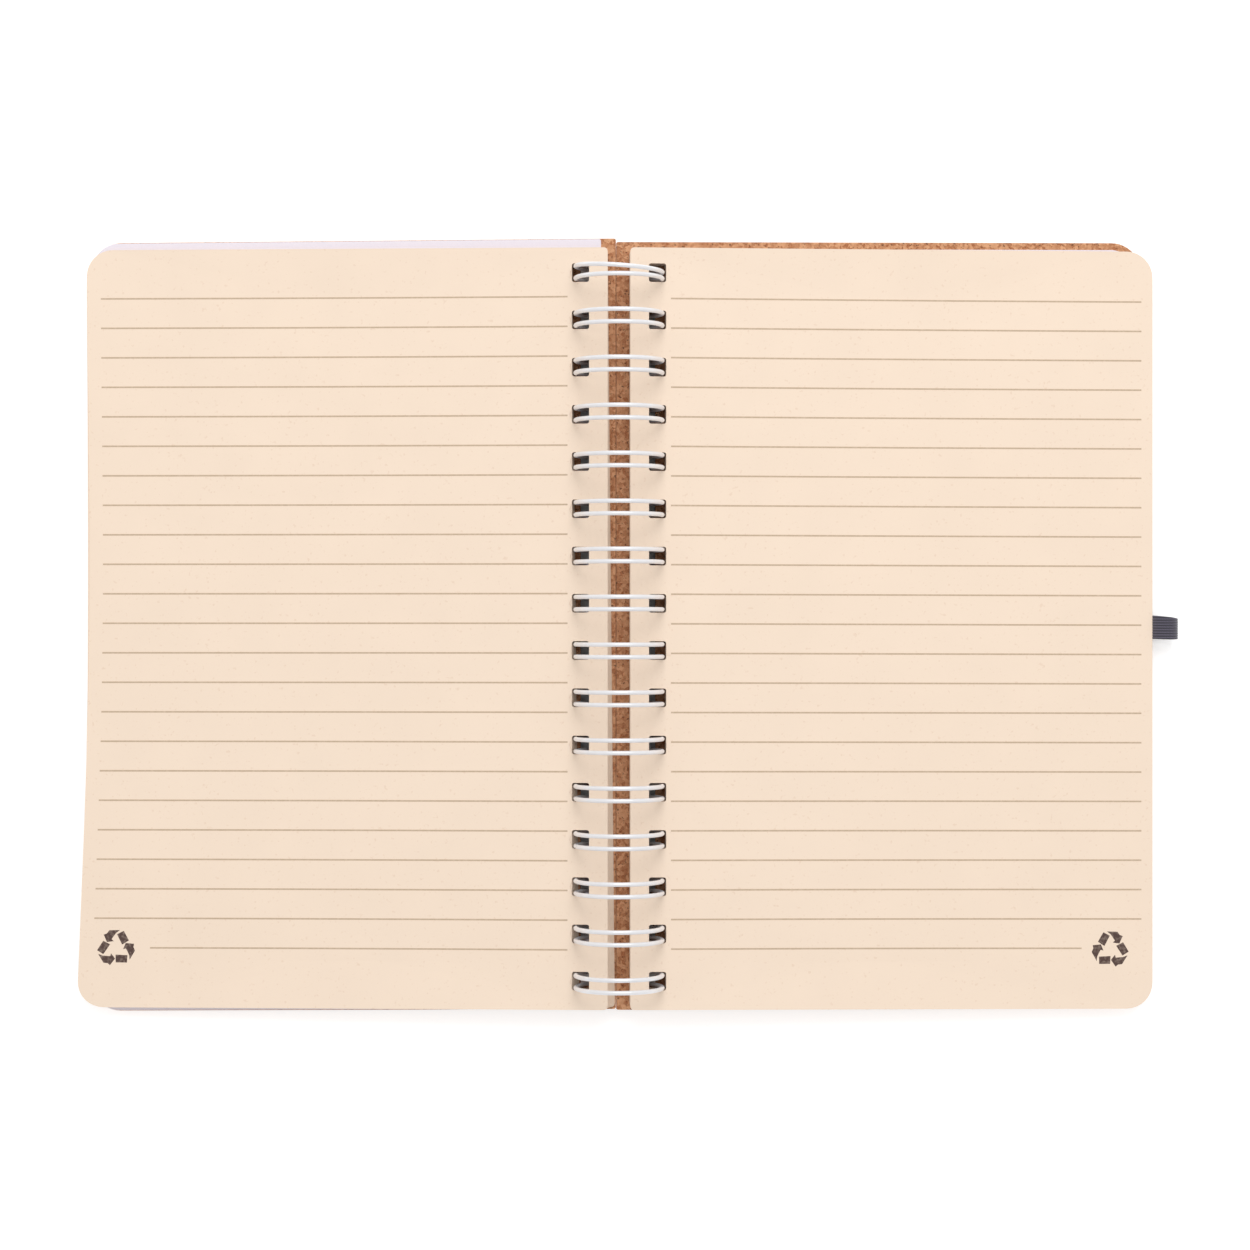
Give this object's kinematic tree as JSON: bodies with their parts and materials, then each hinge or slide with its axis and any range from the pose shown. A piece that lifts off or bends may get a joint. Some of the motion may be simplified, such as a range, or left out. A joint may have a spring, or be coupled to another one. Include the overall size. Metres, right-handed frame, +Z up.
{
  "type": "wire-bound notebook, open",
  "caption": "Wire-bound notebook lying open, with cork covers, ruled recycled-paper pages and an elastic pen loop; the front half turns over on the rings to shut.",
  "frame": {"origin": "middle of the whole open notebook, on the table it lies on; the ring axis is 3.8 mm to the left of it and 12.4 mm up", "axes": "+X from the spine to the fore-edge of the right-hand pages, +Y to the head of the pages, +Z up from the table"},
  "size_m": [0.2958, 0.21, 0.0246],
  "materials": {
    "cork": "fine-grained cork sheet on board, matt",
    "lining_paper": "smooth white paper, matt",
    "page_paper": "uncoated cream recycled paper, matt, with fine flecks",
    "coated_wire": "smooth silver-white coating on steel wire, semi-gloss",
    "elastic": "ribbed woven elastic, matt black"
  },
  "bodies": {
    "back_half": {"back_cover": "cork", "back_lining": "lining_paper", "right_pages": "page_paper", "pen_loop": "elastic", "wire_binding": "coated_wire"},
    "front_half": {"front_cover": "cork", "front_lining": "lining_paper", "left_pages": "page_paper"}
  },
  "joints": [
    {"name": "front_cover_turn", "type": "hinge", "parent": "back_half", "child": "front_half", "pos_m": [-0.00381, 0, 0.0124], "axis": [0, 1, 0], "range_deg": [0, 184.9]}
  ]
}
